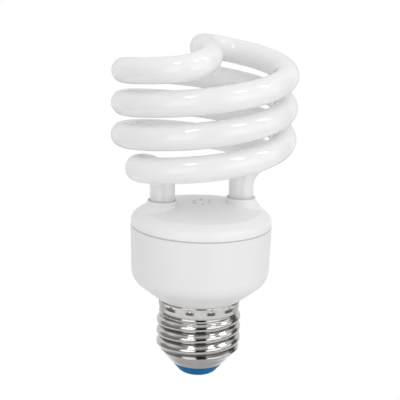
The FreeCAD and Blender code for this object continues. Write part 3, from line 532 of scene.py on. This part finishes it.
laminate, tree = material("paper_phenolic_board")
place = millimetres(tree)
fibre = add(tree, "ShaderNodeMapping", {"Scale": (0.25, 1.6, 1.0)}, {"Vector": place})
fibre = add(tree, "ShaderNodeTexNoise", {"Scale": 1.0, "Detail": 4.0, "Roughness": 0.6}, {"Vector": fibre})
tone = add(tree, "ShaderNodeValToRGB", {"stops": [(0.3, linear("#a37b45")), (0.7, linear("#c09a61"))]}, {0: fibre})
lands = add(tree, "ShaderNodeTexVoronoi", {"feature": "DISTANCE_TO_EDGE", "Scale": 1 / 5.5}, {"Vector": place})
lands = add(tree, "ShaderNodeValToRGB", {"stops": [(0.07, linear("#2c5a37")), (0.10, linear("#4d8a4f"))]},
            {0: lands})
level = add(tree, "ShaderNodeSeparateXYZ", links={0: place}).outputs[2]
lacquered = add(tree, "ShaderNodeMath", {"operation": "GREATER_THAN", 1: BOARD_TOP - 0.05}, {0: level})
tone = add(tree, "ShaderNodeMix", {"data_type": "RGBA"}, {0: lacquered, 6: tone, 7: lands})
gloss = add(tree, "ShaderNodeMapRange", {"To Min": 0.50, "To Max": 0.22}, {"Value": lacquered})
fibre = add(tree, "ShaderNodeBump", {"Strength": 1.0, "Distance": 0.00002}, {"Height": fibre})
surface = add(tree, "ShaderNodeBsdfPrincipled", {"IOR": 1.55}, {"Base Color": tone.outputs[2], "Roughness": gloss,
                                                                "Normal": fibre})
add(tree, "ShaderNodeOutputMaterial", links={"Surface": surface})
dress(["circuit_board"], laminate)


# Wires: tinned copper posts and leads. Drawn wire is bright silver with faint lines along it, and the same
# tinned wire and solder show on each part's own leads, above the level given for that part.
def tinned(tree, place):
    """The shader of tinned copper wire and of the solder on it."""
    drawn = add(tree, "ShaderNodeTexNoise", {"Scale": 1 / 0.3, "Detail": 3.0, "Roughness": 0.6}, {"Vector": place})
    tone = add(tree, "ShaderNodeValToRGB", {"stops": [(0.3, linear("#bab7b0")), (0.7, linear("#d3d1cc"))]},
               {0: drawn})
    drawn = add(tree, "ShaderNodeBump", {"Strength": 1.0, "Distance": 0.00001}, {"Height": drawn})
    return add(tree, "ShaderNodeBsdfPrincipled", {"Metallic": 1.0, "Roughness": 0.26},
               {"Base Color": tone, "Normal": drawn})


def end_with_leads(tree, place, body, lead_level):
    """Ends a material: the body below a level in millimetres, and tinned leads above it."""
    level = add(tree, "ShaderNodeSeparateXYZ", links={0: place}).outputs[2]
    lead = add(tree, "ShaderNodeMath", {"operation": "GREATER_THAN", 1: lead_level}, {0: level})
    both = add(tree, "ShaderNodeMixShader", links={0: lead, 1: body, 2: tinned(tree, place)})
    add(tree, "ShaderNodeOutputMaterial", links={"Surface": both})


wire, tree = material("tinned_copper_wire")
add(tree, "ShaderNodeOutputMaterial", links={"Surface": tinned(tree, millimetres(tree))})
dress(["wire_posts", "filament_leads"], wire)


# Bulk capacitor: an aluminium can in a dark blue shrink sleeve with a pale stripe on the minus side. The
# sleeve is smooth and glossy with a faint ripple, and the can's flat end stays bare.
STRIPE_FROM_X, CAN_FOOT, END_DISC = 6.7, 27.6, 0.15

sleeve, tree = material("shrink_sleeve_on_aluminium")
place = millimetres(tree)
ripple = add(tree, "ShaderNodeTexNoise", {"Scale": 1 / 2.5, "Detail": 2.0, "Roughness": 0.4}, {"Vector": place})
tone = add(tree, "ShaderNodeValToRGB", {"stops": [(0.3, linear("#1a2138")), (0.7, linear("#222b46"))]}, {0: ripple})
spot = add(tree, "ShaderNodeSeparateXYZ", links={0: place})
stripe = add(tree, "ShaderNodeMath", {"operation": "GREATER_THAN", 1: STRIPE_FROM_X}, {0: spot.outputs[0]})
tone = add(tree, "ShaderNodeMix", {"data_type": "RGBA", 7: linear("#c9ccd2")}, {0: stripe, 6: tone})
bare = add(tree, "ShaderNodeMath", {"operation": "LESS_THAN", 1: CAN_FOOT + END_DISC}, {0: spot.outputs[2]})
tone = add(tree, "ShaderNodeMix", {"data_type": "RGBA", 7: linear("#c4c5c6")}, {0: bare, 6: tone.outputs[2]})
ripple = add(tree, "ShaderNodeBump", {"Strength": 1.0, "Distance": 0.00008}, {"Height": ripple})
surface = add(tree, "ShaderNodeBsdfPrincipled", {"Roughness": 0.30, "IOR": 1.54},
              {"Base Color": tone.outputs[2], "Metallic": bare, "Normal": ripple})
end_with_leads(tree, place, surface, BOARD_UNDER)
dress(["bulk_capacitor"], sleeve)


# Film capacitors: wound film blocks dipped in red brown epoxy. The dip runs a little before it sets, so the
# skin is glossy and softly wavy.
dipped, tree = material("dipped_red_brown_epoxy")
place = millimetres(tree)
runs = add(tree, "ShaderNodeTexNoise", {"Scale": 1 / 2.0, "Detail": 2.0, "Roughness": 0.45}, {"Vector": place})
tone = add(tree, "ShaderNodeValToRGB", {"stops": [(0.3, linear("#8f3f1e")), (0.7, linear("#a74e28"))]}, {0: runs})
runs = add(tree, "ShaderNodeBump", {"Strength": 1.0, "Distance": 0.00025}, {"Height": runs})
surface = add(tree, "ShaderNodeBsdfPrincipled", {"Roughness": 0.16, "IOR": 1.55}, {"Base Color": tone,
                                                                                  "Normal": runs})
end_with_leads(tree, place, surface, BOARD_UNDER)
dress(["resonant_capacitor", "coupling_capacitor", "starting_capacitor"], dipped)


# Transistors and rectifier diodes: chips moulded into black epoxy. The spark eroded mould leaves a fine matt
# grit, the legs and leads are tinned, and each diode has a pale band at its minus end.
LEG_LEVEL, DIODE_FOOT = 41.6, 35.3

for name, pieces in (("black_moulded_epoxy", ["transistor_1", "transistor_2"]),
                     ("black_diode_epoxy", ["rectifier_diodes"])):
    epoxy, tree = material(name)
    place = millimetres(tree)
    grit = add(tree, "ShaderNodeTexNoise", {"Scale": 1 / 0.15, "Detail": 2.0, "Roughness": 0.5}, {"Vector": place})
    tone = add(tree, "ShaderNodeValToRGB", {"stops": [(0.3, linear("#1b1b1d")), (0.7, linear("#262628"))]},
               {0: grit})
    if name == "black_diode_epoxy":
        level = add(tree, "ShaderNodeSeparateXYZ", links={0: place}).outputs[2]
        level = add(tree, "ShaderNodeMapRange", {"From Min": DIODE_FOOT, "From Max": LEG_LEVEL}, {"Value": level})
        band = add(tree, "ShaderNodeValToRGB", {"stops": [(0.25, grey(0.0)), (0.27, grey(1.0)), (0.38, grey(1.0)),
                                                          (0.40, grey(0.0))]}, {0: level})
        tone = add(tree, "ShaderNodeMix", {"data_type": "RGBA", 7: linear("#b9babb")}, {0: band, 6: tone}).outputs[2]
    grit = add(tree, "ShaderNodeBump", {"Strength": 1.0, "Distance": 0.00002}, {"Height": grit})
    surface = add(tree, "ShaderNodeBsdfPrincipled", {"Roughness": 0.55, "IOR": 1.55},
                  {"Base Color": tone, "Normal": grit})
    end_with_leads(tree, place, surface, LEG_LEVEL)
    dress(pieces, epoxy)


# Thermistor: a pressed ceramic disc with leads soldered to its two faces, dipped in a thin ochre coat. The coat
# dries matt and finely speckled.
ceramic, tree = material("ochre_coated_ceramic")
place = millimetres(tree)
speck = add(tree, "ShaderNodeTexNoise", {"Scale": 1 / 0.3, "Detail": 3.0, "Roughness": 0.6}, {"Vector": place})
tone = add(tree, "ShaderNodeValToRGB", {"stops": [(0.3, linear("#a5854a")), (0.7, linear("#bd9c5e"))]}, {0: speck})
speck = add(tree, "ShaderNodeBump", {"Strength": 1.0, "Distance": 0.00003}, {"Height": speck})
surface = add(tree, "ShaderNodeBsdfPrincipled", {"Roughness": 0.60, "IOR": 1.5}, {"Base Color": tone,
                                                                                 "Normal": speck})
end_with_leads(tree, place, surface, BOARD_UNDER)
dress(["ptc_thermistor"], ceramic)


# Ferrite: the choke's two E cores, the drive ring and the filter's drum, all pressed and sintered. Fired
# ferrite is dark grey with a dull metallic grain and small pores.
ferrite, tree = material("sintered_ferrite")
place = millimetres(tree)
grain = add(tree, "ShaderNodeTexVoronoi", {"Scale": 1 / 0.35}, {"Vector": place})
tone = add(tree, "ShaderNodeValToRGB", {"stops": [(0.1, linear("#39393b")), (0.8, linear("#4a4a4d"))]}, {0: grain})
pores = add(tree, "ShaderNodeTexNoise", {"Scale": 1 / 0.25, "Detail": 4.0, "Roughness": 0.7}, {"Vector": place})
gloss = add(tree, "ShaderNodeMapRange", {"From Min": 0.3, "From Max": 0.7, "To Min": 0.38, "To Max": 0.60},
            {"Value": pores})
pores = add(tree, "ShaderNodeBump", {"Strength": 1.0, "Distance": 0.00003}, {"Height": pores})
surface = add(tree, "ShaderNodeBsdfPrincipled", {"IOR": 2.2, "Metallic": 0.15},
              {"Base Color": tone, "Roughness": gloss, "Normal": pores})
add(tree, "ShaderNodeOutputMaterial", links={"Surface": surface})
dress(["choke_core_upper", "choke_core_lower", "toroid_core", "filter_core"], ferrite)


# Choke bobbin: moulded in black glass filled nylon between the two cores. It is satin with faint pale fibre
# streaks, and its pins are tinned.
nylon, tree = material("black_filled_nylon")
place = millimetres(tree)
streak = add(tree, "ShaderNodeMapping", {"Scale": (0.6, 3.0, 3.0)}, {"Vector": place})
streak = add(tree, "ShaderNodeTexNoise", {"Scale": 1.0, "Detail": 3.0, "Roughness": 0.6}, {"Vector": streak})
tone = add(tree, "ShaderNodeValToRGB", {"stops": [(0.35, linear("#202022")), (0.75, linear("#333336"))]},
           {0: streak})
streak = add(tree, "ShaderNodeBump", {"Strength": 1.0, "Distance": 0.00002}, {"Height": streak})
surface = add(tree, "ShaderNodeBsdfPrincipled", {"Roughness": 0.42, "IOR": 1.53}, {"Base Color": tone,
                                                                                  "Normal": streak})
end_with_leads(tree, place, surface, BOARD_UNDER)
dress(["choke_bobbin"], nylon)


# Windings: enamelled copper wire in close layers. The lacquer gives a deep amber red over bright copper, and each
# turn shows as a ridge, with painted shade darkening the grooves between turns; wire of 0.35 mm is drawn at 0.5 mm
# so that the turns show.
TURN_MM = 0.5

copper, tree = material("enamelled_copper_turns")
place = millimetres(tree)
ridges_and_groove_shade = add(tree, "ShaderNodeTexWave", {"bands_direction": "Z", "Scale": math.pi / 10 / TURN_MM,
                                         "Distortion": 0.4, "Detail": 1.0}, {"Vector": place})
# Painted shade: the colour darkens in the grooves between turns, where the same waves that raise each turn are
# lowest.
tone = add(tree, "ShaderNodeValToRGB", {"stops": [(0.05, linear("#5d2512")), (0.60, linear("#b5602f"))]},
           {0: ridges_and_groove_shade})
ridges_and_groove_shade = add(tree, "ShaderNodeBump", {"Strength": 1.0, "Distance": 0.00012}, {"Height": ridges_and_groove_shade})
surface = add(tree, "ShaderNodeBsdfPrincipled", {"Metallic": 0.9, "Roughness": 0.25, "Coat Weight": 1.0,
                                                 "Coat Roughness": 0.08, "Coat IOR": 1.55},
              {"Base Color": tone, "Normal": ridges_and_groove_shade})
add(tree, "ShaderNodeOutputMaterial", links={"Surface": surface})
dress(["choke_winding", "filter_winding", "toroid_windings"], copper)


# Chip resistors and trigger diode: small parts glued on the lacquered side. The chips have a dark glazed top;
# the diode is a sealed glass body, orange red with a soft inner cloud.
for name, low, high, rough, pieces in (("dark_glazed_chip", "#1c1d21", "#2b2c31", 0.24, ["chip_resistors"]),
                                       ("orange_red_diode_glass", "#a8441f", "#c9652f", 0.07, ["trigger_diode"])):
    glazed, tree = material(name)
    place = millimetres(tree)
    cloud = add(tree, "ShaderNodeTexNoise", {"Scale": 1 / 0.8, "Detail": 2.0, "Roughness": 0.5}, {"Vector": place})
    tone = add(tree, "ShaderNodeValToRGB", {"stops": [(0.3, linear(low)), (0.7, linear(high))]}, {0: cloud})
    cloud = add(tree, "ShaderNodeBump", {"Strength": 1.0, "Distance": 0.00003}, {"Height": cloud})
    surface = add(tree, "ShaderNodeBsdfPrincipled", {"Roughness": rough, "IOR": 1.52},
                  {"Base Color": tone, "Normal": cloud})
    add(tree, "ShaderNodeOutputMaterial", links={"Surface": surface})
    dress(pieces, glazed)


# Supply leads: two insulated wires up to the board and a resistor in the live one that opens as a fuse, all in
# soft white silicone sleeving. It is matt, and clings with faint rings where it was pushed on.
RING_MM = 0.9

tubing, tree = material("white_silicone_sleeving")
place = millimetres(tree)
folds = add(tree, "ShaderNodeTexWave", {"bands_direction": "Z", "Scale": math.pi / 10 / RING_MM,
                                        "Distortion": 2.0, "Detail": 2.0}, {"Vector": place})
tone = add(tree, "ShaderNodeValToRGB", {"stops": [(0.1, linear("#dcdbd3")), (0.8, linear("#e9e8e2"))]}, {0: folds})
folds = add(tree, "ShaderNodeBump", {"Strength": 1.0, "Distance": 0.00005}, {"Height": folds})
surface = add(tree, "ShaderNodeBsdfPrincipled", {"Roughness": 0.68, "IOR": 1.41}, {"Base Color": tone,
                                                                                  "Normal": folds})
add(tree, "ShaderNodeOutputMaterial", links={"Surface": surface})
dress(["fuse_resistor", "live_lead", "neutral_lead"], tubing)


scene.view_settings.view_transform = "Standard"
